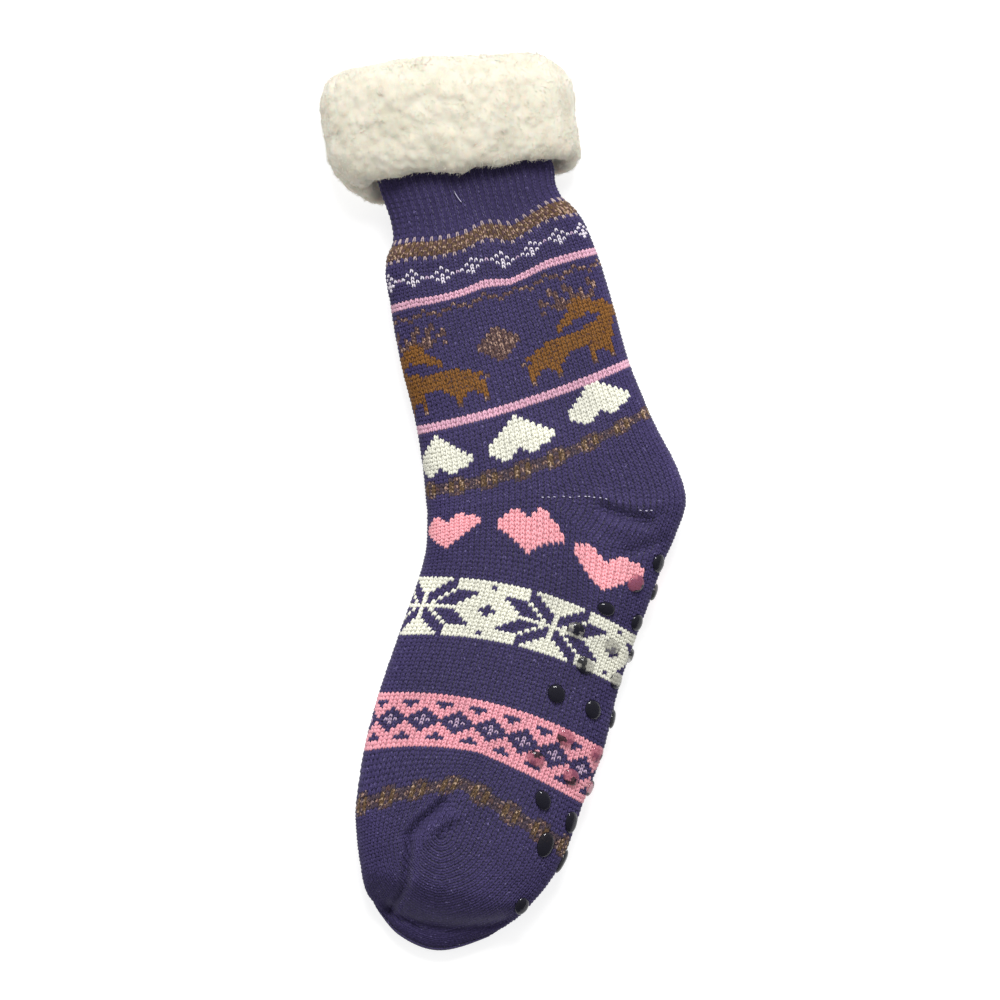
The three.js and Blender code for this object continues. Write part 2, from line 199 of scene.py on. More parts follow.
def leg_half(rows, side):
    """Half sections of the leg: arrays of mid, edge, bow, base, thick and grip."""
    rows = np.asarray(rows, float)
    place = lambda name: on_axes(leg(name + "Up", rows) * LEG_LENGTH,
                                 leg(name + "Out", rows) * LEG_HALF, LEG_UP, LEG_BACK)
    return {
        "mid": place("mid"),
        "edge": place(side),
        "bow": np.multiply.outer(leg(side + "Bow", rows) * LEG_HALF, LEG_UP),
        "base": np.maximum(0, leg("rise", np.maximum(0, rows))) * CUFF_UNDER,
        "thick": leg("thick", np.maximum(0, rows)) * LIE_HEIGHT,
        "grip": np.zeros(len(rows)),
        "fan": np.zeros((len(rows), 2)),
    }


def foot_half(rows, side, foot=courses):
    """Half sections of the foot, by the courses or by another table."""
    rows = np.asarray(rows, float)
    place = lambda name: on_axes(foot(name + "Up", rows) * FOOT_LENGTH,
                                 foot(name + "Out", rows) * FOOT_HALF, FOOT_DOWN, FOOT_BACK)
    return {
        "mid": place("mid"),
        "edge": place(side),
        "bow": np.multiply.outer(-foot(side + "Bow", rows) * FOOT_HALF, FOOT_DOWN),
        "base": np.zeros(len(rows)),
        "thick": foot("thick", rows) * LIE_HEIGHT,
        "grip": np.full(len(rows), 1.0 if side == "back" else 0.0),
        "fan": np.multiply.outer(np.interp(rows, *zip(*FAN)) * FOOT_HALF * (side == "back"), FOOT_DOWN),
    }


def pouch_half(table, start, end, grip_start, grip_end):
    """Half sections that turn about a side line, from start to end."""
    keys = [0.0] + [row[0] for row in table]
    edges = [start["edge"][0]]
    bows = [start["bow"][0]]
    for _, up, out, bow in table:
        edges.append(FOOT_DOWN * up * FOOT_LENGTH + FOOT_BACK * out * FOOT_HALF)
        bows.append(-FOOT_DOWN * bow * FOOT_HALF)
    if end is not None:
        keys.append(1.0)
        edges.append(end["edge"][0])
        bows.append(end["bow"][0])
    edges = np.array(edges)
    bows = np.array(bows)

    def at(turns):
        turns = np.asarray(turns, float)
        count = len(turns)
        curve = lambda values: np.stack([through(keys, values[:, k], turns) for k in (0, 1)], 1)
        return {
            "mid": np.repeat(start["mid"][:1], count, 0),
            "edge": curve(edges),
            "bow": curve(bows),
            "base": np.full(count, start["base"][0]),
            "thick": np.full(count, start["thick"][0]),
            "grip": grip_start + (grip_end - grip_start) * smoothstep(0.35, 0.75, turns),
            "fan": np.multiply.outer(turns, end["fan"][0] if end is not None else np.zeros(2)),
        }
    return at


LEG_END = leg_half([LEG_ROWS], "back")
heel_half = pouch_half(HEEL, LEG_END, foot_half([0], "back"), 0, 1)
cap_half = pouch_half(COURSES_CAP, foot_half([COURSE_ROWS], "back"), None, 1, 0)
top_half = pouch_half(COURSES_TOP, foot_half([COURSE_ROWS], "front"), None, 0, 0)
solid_cap_half = pouch_half(TOE_CAP, foot_half([FOOT_ROWS], "back", foot), None, 1, 0)


def point_on(half, angle, out):
    """Points of half sections: angle 90 degrees up, 0 on the fold, -90 down."""
    power = 2 / ROUNDNESS
    across = np.abs(np.cos(angle)) ** power
    level = np.abs(np.sin(angle)) ** power
    reach = half["edge"] - half["mid"]
    width = np.linalg.norm(reach, axis=1)
    plan = (half["mid"] + reach * (across * (width + out) / width)[:, None]
            + half["bow"] * (4 * across * (1 - across))[:, None]
            + half["fan"] * (16 * across ** 2 * (1 - across) ** 2)[:, None])
    fold = half["thick"] * EDGE_LEVEL
    top = half["base"] + fold + (half["thick"] - fold + out) * level
    lift = half["grip"] * DOT_LIFT * smoothstep(GRIP_FROM, GRIP_TO, across)
    pressed = half["base"] + lift - out
    rounded = half["base"] + fold - UNDER_FLATNESS * (fold + out) * level
    low = np.maximum(0, np.maximum(pressed, rounded))
    return np.column_stack([plan, np.where(angle >= 0, top, low)])


def repeat_half(half, count):
    return {name: np.repeat(values, count, 0) for name, values in half.items()}


def run(points):
    """Length along each line of points, from 0."""
    step = np.linalg.norm(np.diff(points, axis=-2), axis=-1)
    return np.concatenate([np.zeros(step.shape[:-1] + (1,)), np.cumsum(step, -1)], -1)


def resample(points, steps):
    """Points (lines, n, 3) spaced evenly by length along each line."""
    along = run(points)
    result = np.empty((len(points), steps + 1, 3))
    for i, line in enumerate(points):
        at = np.linspace(0, along[i, -1], steps + 1)
        for k in range(3):
            result[i, :, k] = np.interp(at, along[i], line[:, k])
    return result


def hash_noise(points, scale, seed):
    """Smooth value noise in space, about -1 to 1."""
    cell = points * scale
    low = np.floor(cell).astype(np.int64)
    share = cell - low
    share = share * share * (3 - 2 * share)
    total = np.zeros(len(points))
    for corner in range(8):
        step = np.array([corner & 1, corner >> 1 & 1, corner >> 2 & 1])
        at = low + step
        key = (at[:, 0] * 73856093) ^ (at[:, 1] * 19349663) ^ (at[:, 2] * 83492791) ^ (seed * 7919)
        key = (key ^ (key >> 13)) * 1274126177
        value = ((key ^ (key >> 16)) & 0xFFFF) / 32767.5 - 1
        weight = np.prod(np.where(step, share, 1 - share), axis=1)
        total += value * weight
    return total


def noise_vectors(points, scale, seed):
    """Three channels of the noise, as vectors."""
    return np.stack([hash_noise(points, scale, seed + k) for k in range(3)], 1)


# Creases of the slack sock, in its own frame: points x, y, then depth (up is
# negative) and half width, millimetres
CREASES = [
    ([(-38, -132), (-45, -139), (-51, -144), (-56, -150), (-57, -160), (-58, -172), (-62, -181), (-70, -188)],
     3.8, 2.0),
    ([(-33, -137), (-40, -143), (-46, -148), (-51, -154), (-53, -166), (-55, -176)], -2.4, 3.4),
    ([(-45, -151), (-41, -148), (-37, -145.5), (-33, -144)], 1.3, 1.4),
    ([(-68, -178), (-63, -186), (-52, -190), (-37, -192), (-19, -190), (-8, -186)], 2.8, 2.0),
    ([(-58, -178), (-48, -183), (-36, -185), (-22, -184), (-6, -178)], -1.2, 3.5),
    ([(25, -4), (31.7, -8.4), (37.4, -10.1), (43, -11.4), (48.4, -12.8), (54, -12.4)], 3.0, 2.2),
    ([(19, 0), (29, -2), (39, -4.5), (49, -5.5), (60, -3)], -1.3, 2.6),
    ([(26, -12), (34, -15.5), (43, -17.5), (52, -18)], -1.0, 3.0),
    ([(33, -27.5), (41.8, -25.5), (47.5, -23.8), (52.8, -21.6), (58, -16)], 1.9, 2.6),
    ([(-42, 4), (-28, 1), (-12, 2)], 0.7, 4.0),
    ([(-57, 96), (-47, 99), (-35, 99)], 0.8, 3.5),
]
TOE_DROP = 0.5
TOE_DROP_FROM = 176
TOE_DROP_TO = 201
UPPER_FROM = 8
UPPER_TO = 17
UNDULATION = 0.55
UNDULATION_SCALE = 0.045

# Sag of the bands under the rib: x, then how far they hang, millimetres
SAG = [(-63, 0), (-55, 0.8), (-46.6, 2.8), (-38.7, 3.6), (-31.7, 3.2), (-24, 1.0), (-19, 2.4),
       (-12.8, 5.3), (-6.4, 3.4), (-3, 2.2), (4.4, 0)]


def line_distance(points, line):
    """Distance in plan from points to a line through given places, and its end fade."""
    best = np.full(len(points), 1e9)
    for a, b in zip(line[:-1], line[1:]):
        a, b = np.array(a, float), np.array(b, float)
        share = np.clip((points[:, :2] - a) @ (b - a) / ((b - a) @ (b - a)), 0, 1)
        near_point = a + share[:, None] * (b - a)
        best = np.minimum(best, np.linalg.norm(points[:, :2] - near_point, axis=1))
    ends = np.minimum(np.linalg.norm(points[:, :2] - line[0], axis=1),
                      np.linalg.norm(points[:, :2] - line[-1], axis=1))
    return best, smoothstep(0, 7, ends)


def relief(points):
    """Creases, soft undulation and the sag under the rib, on the upper side alone."""
    flat = points.reshape(-1, 3).copy()
    weight = smoothstep(UPPER_FROM, UPPER_TO, flat[:, 2])
    height = UNDULATION * hash_noise(flat * [1, 1, 0], UNDULATION_SCALE, 3)
    for line, depth, width in CREASES:
        distance, fade = line_distance(flat, line)
        height -= depth * np.exp(-(distance / width) ** 2) * fade
    flat[:, 2] *= 1 - TOE_DROP * smoothstep(TOE_DROP_FROM, TOE_DROP_TO, flat[:, :2] @ FOOT_DOWN) * weight
    along = flat[:, :2] @ LEG_UP
    band = smoothstep(143, 122, along) * smoothstep(76, 112, along)
    sag = np.interp(flat[:, 0], [x for x, _ in SAG], [value for _, value in SAG])
    flat[:, :2] -= np.multiply.outer(sag * band * weight, LEG_UP)
    flat[:, 2] += height * weight
    return flat.reshape(points.shape)


FINE = 120
COLUMNS_HALF = 48


def fine_points(half, out=0.0):
    """Angles from top to bottom, and the points of each half section at them."""
    count = len(half["base"])
    angles = np.linspace(math.pi / 2, -math.pi / 2, FINE + 1)
    outs = np.full(count * (FINE + 1), float(out))
    points = point_on(repeat_half(half, FINE + 1), np.tile(angles, count), outs)
    return angles, points.reshape(count, FINE + 1, 3)


def nodes(half, out=0.0, steps=COLUMNS_HALF):
    """Corners of stitches on half sections, evenly spaced from top to bottom."""
    return relief(resample(fine_points(half, out)[1], steps))


# The sock's own frame is moved onto the loaded solids
KNIT_LOW, KNIT_HIGH = (np.array(corner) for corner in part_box("knit_upper"))
TIP = solid_cap_half(np.arange(1, 10) / 9)["edge"][:, 1].min()
HEEL_OUT = heel_half(np.arange(1, 7) / 6)["edge"][:, 0].max()
SHIFT = np.array([KNIT_HIGH[0] / MM - HEEL_OUT, KNIT_LOW[1] / MM - TIP, 0.0])


def to_scene(points):
    return (np.asarray(points, float) + SHIFT) * MM


def new_object(name, vertices, faces, materials=(), indices=None, smooth=True, uv=None):
    """Mesh object from arrays: vertices in the sock's frame, faces of one size."""
    mesh = bpy.data.meshes.new(name)
    vertices = to_scene(vertices).astype(np.float32)
    faces = np.asarray(faces, np.int32)
    count, sides = faces.shape
    mesh.vertices.add(len(vertices))
    mesh.vertices.foreach_set("co", vertices.ravel())
    mesh.loops.add(count * sides)
    mesh.loops.foreach_set("vertex_index", faces.ravel())
    mesh.polygons.add(count)
    mesh.polygons.foreach_set("loop_start", np.arange(0, count * sides, sides, dtype=np.int32))
    mesh.polygons.foreach_set("loop_total", np.full(count, sides, np.int32))
    for material in materials:
        mesh.materials.append(material)
    if indices is not None:
        mesh.polygons.foreach_set("material_index", np.asarray(indices, np.int32))
    mesh.polygons.foreach_set("use_smooth", np.full(count, smooth))
    if uv is not None:
        layer = mesh.uv_layers.new(name="OFBake")
        layer.data.foreach_set("uv", np.asarray(uv, np.float32).ravel())
    mesh.update(calc_edges=True)
    mesh.validate()
    piece = bpy.data.objects.new(name, mesh)
    bpy.context.scene.collection.objects.link(piece)
    return piece


# Camera straight above, and the photo's framing
PHOTO_WIDTH = 0.44  # metres across the picture at the height of the sock
CAMERA_HEIGHT = 3.0
SENSOR = 36.0
camera_data = bpy.data.cameras.new("camera")
camera_data.sensor_width = SENSOR
camera_data.lens = SENSOR * (CAMERA_HEIGHT - 0.4 * LIE_HEIGHT * MM) / PHOTO_WIDTH
camera_data.clip_end = 20
camera = bpy.data.objects.new("camera", camera_data)
camera.location = (0, 0, CAMERA_HEIGHT)
bpy.context.scene.collection.objects.link(camera)
bpy.context.scene.camera = camera


def srgb(red, green, blue):
    """Colour of the picture, 0 to 255, as linear values."""
    linear = []
    for value in (red, green, blue):
        value /= 255
        linear.append(value / 12.92 if value <= 0.04045 else ((value + 0.055) / 1.055) ** 2.4)
    return (*linear, 1.0)


class Nodes:
    """Short calls for a node tree."""

    def __init__(self, name):
        self.material = bpy.data.materials.new(name)
        self.material.use_nodes = True
        self.tree = self.material.node_tree
        self.shader = self.tree.nodes["Principled BSDF"]

    def add(self, kind, settings=None, **inputs):
        node = self.tree.nodes.new(kind)
        for key, value in (settings or {}).items():
            setattr(node, key, value)
        for key, value in inputs.items():
            self.plug(node.inputs[key.replace("_", " ")], value)
        return node

    def plug(self, socket, value):
        if isinstance(value, bpy.types.NodeSocket):
            self.tree.links.new(value, socket)
        else:
            socket.default_value = value

    def set(self, **inputs):
        for key, value in inputs.items():
            self.plug(self.shader.inputs[key.replace("_", " ")], value)

    def noise(self, scale, detail=2.0, roughness=0.5):
        where = self.add("ShaderNodeTexCoord").outputs["Object"]
        node = self.add("ShaderNodeTexNoise", Vector=where, Scale=scale, Detail=detail,
                        Roughness=roughness)
        return node.outputs["Fac"]

    def ramp(self, factor, stops):
        node = self.add("ShaderNodeValToRGB", Fac=factor)
        elements = node.color_ramp.elements
        while len(elements) < len(stops):
            elements.new(0.5)
        for element, (place, colour) in zip(elements, stops):
            element.position = place
            element.color = colour
        return node.outputs["Color"]

    def mix(self, factor, one, two, blend="MIX"):
        node = self.add("ShaderNodeMix", {"data_type": "RGBA", "blend_type": blend})
        self.plug(node.inputs[0], factor)
        self.plug(node.inputs[6], one)
        self.plug(node.inputs[7], two)
        return node.outputs[2]

    def bump(self, height, strength, distance):
        node = self.add("ShaderNodeBump", Height=height, Strength=strength, Distance=distance)
        return node.outputs["Normal"]


def yarn(name, dark, light, fleck_and_fuzz_highlight=None, fleck_from=0.6, depth=1.0):
    """Acrylic yarn: fibres that shift in shade, now and then a lighter fleck; on the purple the lighter
    flecks are partly lighter fibre and partly painted highlight of the fuzz.
    """
    look = Nodes(name)
    fibre = look.noise(1500.0, 2.0, 0.6)
    # A depth below 1 darkens both tones: painted shade for the ground copies between the stitches
    shade = [tuple(value * depth for value in tone[:3]) + (1.0,) for tone in (dark, light)]
    colour = look.ramp(fibre, [(0.32, shade[0]), (0.68, shade[1])])
    patch = look.ramp(look.noise(40.0, 3.0, 0.6),
                        [(0.3, (0.86, 0.86, 0.87, 1)), (0.7, (1.1, 1.1, 1.09, 1))])
    colour = look.mix(1.0, colour, patch, "MULTIPLY")
    if fleck_and_fuzz_highlight is not None:
        where = look.ramp(look.noise(700.0, 1.0, 0.5),
                            [(fleck_from, (0, 0, 0, 1)), (fleck_from + 0.06, (1, 1, 1, 1))])
        colour = look.mix(where, colour, fleck_and_fuzz_highlight)
    look.set(Base_Color=colour, Roughness=0.9, Normal=look.bump(fibre, 0.5, 0.0003))
    look.set(Specular_IOR_Level=0.25, Sheen_Weight=0.12, Sheen_Roughness=0.5)
    return look.material


PURPLE, WHITE, HEART, BAND, LINE, DEER, SPECKLE, GOLD, DIM, PICOT, LILAC, THIN = range(12)
# Name, dark and light tone, colour of the flecks and their rarity, width of a stitch's leg
YARN_TONES = [
    # the purple's lighter flecks are partly lighter fibre and partly painted highlight of the fuzz
    ("purple", (45, 38, 76), (74, 64, 110), (102, 94, 138), 0.68, 1.0),
    ("white", (214, 213, 198), (241, 240, 227), None, 0, 1.0),
    ("heart_pink", (238, 158, 167), (250, 185, 193), None, 0, 1.0),
    ("band_pink", (226, 150, 163), (243, 179, 190), None, 0, 0.96),
    ("line_pink", (200, 146, 168), (224, 184, 202), None, 0, 0.95),
    ("deer_brown", (102, 63, 26), (148, 102, 46), (80, 54, 52), 0.60, 1.0),
    ("speckled_brown", (72, 52, 66), (108, 80, 68), (170, 140, 124), 0.56, 0.8),
    ("gold", (80, 60, 50), (116, 90, 58), (184, 158, 134), 0.57, 0.85),
    ("dim_brown", (58, 46, 66), (86, 70, 76), (150, 126, 120), 0.60, 0.95),
    ("picot", (150, 130, 132), (204, 186, 184), None, 0, 0.68),
    ("lilac", (164, 138, 170), (212, 188, 210), None, 0, 0.69),
    ("thin_white", (206, 196, 212), (244, 239, 245), None, 0, 0.69),
]
LEG_WIDTHS = np.array([tone[-1] for tone in YARN_TONES])
THIN_WIDTH = 0.7  # narrower legs are short too, and lie on the purple ground
THIN_LENGTH = 0.82
YARNS = [yarn("yarn_" + name, srgb(*dark), srgb(*light), fleck_and_fuzz_highlight and srgb(*fleck_and_fuzz_highlight), share)
         for name, dark, light, fleck_and_fuzz_highlight, share, _ in YARN_TONES]
# Darker copies of the yarns for the ground: painted shade in the gaps between the stitches, less deep under
# the white and pink
GROUND_SHADE_DEPTHS = {PURPLE: 0.62, WHITE: 0.84, HEART: 0.84}
OTHER_GROUND_SHADE = 0.66
SHADED_GROUNDS = []
for code, (name, dark, light, _, _, width) in enumerate(YARN_TONES):
    if width < THIN_WIDTH:
        dark, light = YARN_TONES[PURPLE][1:3]
    depth = GROUND_SHADE_DEPTHS.get(code, OTHER_GROUND_SHADE)
    SHADED_GROUNDS.append(yarn("ground_" + name, srgb(*dark), srgb(*light), depth=depth))

# Charts of the knitted bands. A stitch is (course, column); columns run from the
# front fold over the upper side to the back fold and on round the underside.
AROUND = 2 * COLUMNS_HALF


def near(value, period):
    """Distance from the middle of a repeat, in whole stitches with a sign."""
    return (value + period // 2) % period - period // 2


SMALL_DIAMOND = [
    {0: THIN},
    {1: THIN},
    {0: THIN, 2: THIN, 3: LILAC},
    {0: THIN, 1: THIN},
    {0: THIN},
]


def small_diamond(row, x):
    """Fluffy open diamond of five courses with a repeat of six."""
    return SMALL_DIAMOND[row].get(abs(near(x, 6)), PURPLE)


ORNAMENT = [
    {0: SPECKLE, 1: DIM},
    {0: DIM, 1: GOLD, 2: DIM, 3: DIM},
    {0: SPECKLE, 1: GOLD, 2: SPECKLE, 3: DIM},
    {0: DIM, 1: GOLD, 2: DIM, 3: DIM},
    {0: SPECKLE, 1: DIM},
]


def ornament(row, x):
    """Flower of five courses with a repeat of six, joined in the middle."""
    return ORNAMENT[row].get(abs(near(x, 6)), PURPLE)


# First and last course of a heart by column from its point, which is course 0
HEART_COURSES = {
    -5: (5, 8), -4: (4, 9), -3: (3, 10), -2: (2, 10), -1: (1, 9), 0: (0, 8), 1: (1, 9), 2: (2, 10),
    3: (3, 10), 4: (4, 9), 5: (5, 9), 6: (6, 8),
}
HEART_HEIGHT = 10
# Column of each heart's point, and courses that it sits lower
WHITE_HEARTS = [(6, 0), (21, 0), (36, -2), (54, -2), (70, 0), (86, 0)]
PINK_HEARTS = [(7, 0), (22, -1), (36, 0), (53, 0), (69, 0), (86, 0)]


def heart(row, column, hearts):
    for centre, lower in hearts:
        low, high = HEART_COURSES.get(column - centre, (1, 0))
        if low <= row - lower < high:
            return True
    return False


SNOW_QUARTER = {
    7: (5,), 6: (4, 5), 5: (3, 4, 5), 4: (2, 3, 4, 6, 7, 8, 9), 3: (1, 2, 3, 5, 6, 7, 8),
    2: (1, 2, 4, 5, 6, 7), 1: (1, 3, 4, 5, 6), 0: (),
}


def snowflake(row, x):
    """Eight-pointed star of 15 courses with a small cross between, repeat of 24."""
    y = row - 7
    x = abs(near(x, 24))
    if x >= 11:
        return (abs(y) == 1 and x == 12) or (y == 0 and x >= 11) or (abs(y) == 6 and x == 12)
    return x in SNOW_QUARTER[abs(y)]


def lattice(row, x):
    """Pink band of 15 courses with a repeat of 6: tips, lattice and tips."""
    x = abs(near(x, 6))
    if row in (2, 12):
        return PURPLE if x >= 2 else BAND
    if row in (3, 11):
        return PURPLE if x == 3 else BAND
    if 4 <= row <= 10:
        y = abs(row - 7)
        if y == 3:
            return PURPLE if x == 0 else BAND
        if y == 2:
            return PURPLE if x <= 1 else BAND
        if y == 1:
            return LILAC if x == 0 else (PURPLE if x <= 2 else BAND)
        return LILAC if x <= 1 else PURPLE
    return BAND


# A deer that looks back over its tail, 21 courses by 24 stitches: D is the brown
# body, a the speckled antlers, d half of the diamond between two deer
DEER_CHART = [
    "....a....a..a...........",
    "...aa...aa.aa...........",
    "...a..a.a..a..a.........",
    "....a.aaa.aa.aa.........",
    "....aaaDDaaaa...........",
    ".....DDDDDaa..a........d",
    "..DDDDDDDD............dd",
    ".DDDDDDDDDD..........ddd",
    "DDDDDD.DDDDD........dddd",
    "DDDD......DDD.......dddd",
    "DDDDD.......D........ddd",
    ".DDDDDDD..............dd",
    ".DDDDDDDDDDDDDDD.......d",
    "..DDDDDDDDDDDDDDDD......",
    "..DDDDDDDDDDDDDDDDDD....",
    "..DDDDDDDDDDDDDDDDD.a...",
    "...DDDDD....DDDDDDDD....",
    "...DDDDD.....DDDDDDD....",
    "...DD..D......DD..DD....",
    "...D...D......D....D....",
    "...a...a......a....a....",
]
DEER_KEYS = {".": PURPLE, "D": DEER, "a": SPECKLE, "d": SPECKLE}


def deer(row, x):
    """Two deer with their tails together in 48 stitches."""
    x = x % 48
    if x >= 24:
        x = 47 - x
    return DEER_KEYS[DEER_CHART[row][x]]


# First courses of the bands, and the columns that their repeats are centred on
PICOT_ROW = 35
SMALL_ROW = 42
PINK_LINES = (50, 51, 80, 81)
ZIGZAG_ROW = 53
DEER_ROW = 57
WHITE_HEARTS_ROW = 83
GOLD_ROW = 94
PINK_HEARTS_ROW = 2
SNOW_ROW = 20
LATTICE_ROW = 50
FOOT_GOLD_ROW = 72
SMALL_PHASE = 2
DEER_PHASE = -2
GOLD_PHASE = 3
SNOW_PHASE = 5
LATTICE_PHASE = 0
FOOT_GOLD_PHASE = 3


PICOT_CHART = [(PICOT, PURPLE), (GOLD, SPECKLE), (SPECKLE, GOLD), (GOLD, SPECKLE), (PURPLE, PICOT)]
ZIGZAG = [2, 1, 1, 0]  # course of the zigzag by distance from the middle of a repeat


def leg_yarn(row, column):
    if row < PICOT_ROW:
        return PURPLE
    if row < PICOT_ROW + 5:
        return PICOT_CHART[row - PICOT_ROW][column % 2]
    if SMALL_ROW <= row < SMALL_ROW + 5:
        return small_diamond(row - SMALL_ROW, column - SMALL_PHASE)
    if row in PINK_LINES:
        return LINE
    if ZIGZAG_ROW <= row < ZIGZAG_ROW + 3:
        return SPECKLE if ZIGZAG[abs(near(column, 6))] == row - ZIGZAG_ROW else PURPLE
    if DEER_ROW <= row < DEER_ROW + len(DEER_CHART):
        return deer(row - DEER_ROW, column - DEER_PHASE)
    if heart(row - WHITE_HEARTS_ROW, column, WHITE_HEARTS):
        return WHITE
    if GOLD_ROW <= row < GOLD_ROW + 5:
        return ornament(row - GOLD_ROW, column - GOLD_PHASE)
    return PURPLE


def foot_yarn(row, column):
    if heart(PINK_HEARTS_ROW + HEART_HEIGHT - 1 - row, column, PINK_HEARTS):
        return HEART
    if SNOW_ROW <= row < SNOW_ROW + 15:
        return PURPLE if snowflake(row - SNOW_ROW, column - SNOW_PHASE) else WHITE
    if LATTICE_ROW <= row < LATTICE_ROW + 15:
        return lattice(row - LATTICE_ROW, column - LATTICE_PHASE)
    if FOOT_GOLD_ROW <= row < FOOT_GOLD_ROW + 5:
        return ornament(row - FOOT_GOLD_ROW, column - FOOT_GOLD_PHASE)
    return PURPLE


def plain_yarn(row, column):
    return PURPLE


def full_rings(half_at, rows):
    """Rings of stitch corners round the tube, (rings, 97, 3), from the front fold."""
    front = nodes(half_at(rows, "front"))
    back = nodes(half_at(rows, "back"))
    middle = COLUMNS_HALF // 2
    upper_front = front[:, middle::-1]
    lower_front = front[:, :middle - 1:-1]
    return np.concatenate([upper_front, back[:, 1:], lower_front[:, 1:]], 1)


def grid_stitches(rings, first_row, yarn_at, lift_at=None):
    """Stitches between rings: corners from the top left, yarns and lifts."""
    corners = np.stack([rings[:-1, :-1], rings[:-1, 1:], rings[1:, 1:], rings[1:, :-1]], 2)
    places = [(first_row + i, column) for i in range(len(rings) - 1) for column in range(AROUND)]
    yarns = np.array([yarn_at(*place) for place in places])
    lifts = np.array([lift_at(*place) if lift_at else 0.0 for place in places])
    return corners.reshape(-1, 4, 3), yarns, lifts


ROW_HEIGHT = 1.7  # one course, millimetres


def pouch_stitches(half_at, flip):
    """Stitches of a pouch: each wale walks round the side line at even steps."""
    turns = np.linspace(0, 1, 61)
    lines = nodes(half_at(turns)).transpose(1, 0, 2)
    cells = []
    for column in range(COLUMNS_HALF):
        left, right = lines[column], lines[column + 1]
        middle = (left + right) / 2
        along = run(middle)
        count = int(round(along[-1] / ROW_HEIGHT))
        if count < 1:
            continue
        at = np.linspace(0, along[-1], count + 1)
        a = np.stack([np.interp(at, along, left[:, k]) for k in range(3)], 1)
        b = np.stack([np.interp(at, along, right[:, k]) for k in range(3)], 1)
        if flip:
            a, b = b, a
        cells.append(np.stack([a[:-1], b[:-1], b[1:], a[1:]], 1))
    corners = np.concatenate(cells)
    return corners, np.full(len(corners), PURPLE), np.zeros(len(corners))


# A leg of a stitch is a grain: two tips and two rings of three points. A ring has
# its place along the stitch, and its height as a share of YARN_HEIGHT.
GRAIN_RINGS = [(-0.42, 0.74), (0.34, 1.0)]
GRAIN_WIDTH = 0.3
GRAIN_REACH = 0.96
GRAIN_FOOT = 0.34
GRAIN_HEAD = 0.07
YARN_HEIGHT = 1.15
YARN_SINK = 1.05
GROUND_SINK = 0.75


def grain_template(side):
    """Corners of a leg as columns: axis and half width across, place along, height."""
    def axis(v):
        return side * (GRAIN_HEAD + (GRAIN_FOOT - GRAIN_HEAD) * (v / GRAIN_REACH + 1) / 2)
    points = [(axis(-GRAIN_REACH), 0, -GRAIN_REACH, 0.05)]
    for v, height in GRAIN_RINGS:
        points += [(axis(v), -GRAIN_WIDTH, v, 0.10), (axis(v), 0, v, height),
                   (axis(v), GRAIN_WIDTH, v, 0.10)]
    points.append((axis(GRAIN_REACH), 0, GRAIN_REACH, 0.25))
    return np.array(points)


GRAIN_FACES = np.array([
    (0, 2, 1), (1, 2, 5), (1, 5, 4), (4, 5, 7),
    (0, 3, 2), (2, 3, 6), (2, 6, 5), (5, 6, 7),
    (0, 1, 3), (3, 1, 4), (3, 4, 6), (6, 4, 7),
])
# Where each side of a grain lies in its cell of the baked picture: across, along
GRAIN_STRIPS = [
    {0: (0.5, 0), 1: (0, 0.3), 2: (1, 0.3), 4: (0, 0.7), 5: (1, 0.7), 7: (0.5, 1)},
    {0: (0.5, 0), 2: (0, 0.3), 3: (1, 0.3), 5: (0, 0.7), 6: (1, 0.7), 7: (0.5, 1)},
    {0: (0.5, 0), 3: (0, 0.3), 1: (1, 0.3), 6: (0, 0.7), 4: (1, 0.7), 7: (0.5, 1)},
]


def grain_picture(count):
    """Places of all grains' corners in the baked picture, one cell for each grain."""
    strip_uv = np.array([[[(strip + 0.08 + 0.84 * GRAIN_STRIPS[strip][corner][0]) / 3,
                           0.06 + 0.88 * GRAIN_STRIPS[strip][corner][1]] for corner in face]
                         for strip in range(3) for face in GRAIN_FACES[4 * strip:4 * strip + 4]])
    across = int(math.ceil(math.sqrt(count)))
    cell = np.arange(count)
    corner = np.stack([cell % across, cell // across], 1) / across
    return (corner[:, None, None] + strip_uv[None] / across).reshape(-1, 2)


def knit_piece(name, stitches):
    """One mesh of all stitches: two raised legs for each, in the yarn of its place."""
    corners, yarns, lifts = stitches
    a, b, c, d = (corners[:, k] for k in range(4))
    centre = corners.mean(1)
    right = (b + c - a - d) / 2
    down = (c + d - a - b) / 2
    normal = np.cross(down, right)
    normal /= np.maximum(np.linalg.norm(normal, axis=1), 1e-9)[:, None]
    rng = np.random.default_rng(7)
    wobble = rng.normal(0, 0.04, (len(centre), 2))
    loft = rng.uniform(0.9, 1.1, len(centre))
    lengths = np.where(LEG_WIDTHS[yarns] < THIN_WIDTH, THIN_LENGTH, 1.0)
    vertices, faces, indices = [], [], []
    start = 0
    for side in (-1, 1):
        template = grain_template(side)
        u = template[:, 0] + template[:, 1] * LEG_WIDTHS[yarns][:, None] + wobble[:, :1]
        v = template[:, 2] * lengths[:, None] + wobble[:, 1:]
        w = template[:, 3] * YARN_HEIGHT * loft[:, None] - YARN_SINK + lifts[:, None]
        points = (centre[:, None] + u[..., None] * right[:, None]
                  + v[..., None] * down[:, None] + w[..., None] * normal[:, None])
        points[..., 2] = np.maximum(points[..., 2], 0)
        count = len(template)
        vertices.append(points.reshape(-1, 3))
        offsets = start + count * np.arange(len(centre))[:, None, None]
        faces.append((GRAIN_FACES[None] + offsets).reshape(-1, 3))
        indices.append(np.repeat(yarns, len(GRAIN_FACES)))
        start += count * len(centre)
    piece = new_object(name, np.concatenate(vertices), np.concatenate(faces), YARNS,
                       np.concatenate(indices), uv=grain_picture(2 * len(centre)))
    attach(piece, "root")


RIB_RAISED = 0.1
RIB_SUNK = 0.5


def rib_lift(row, column):
    """Steps between the wales of the rib."""
    return RIB_RAISED if column % 2 else -RIB_SUNK


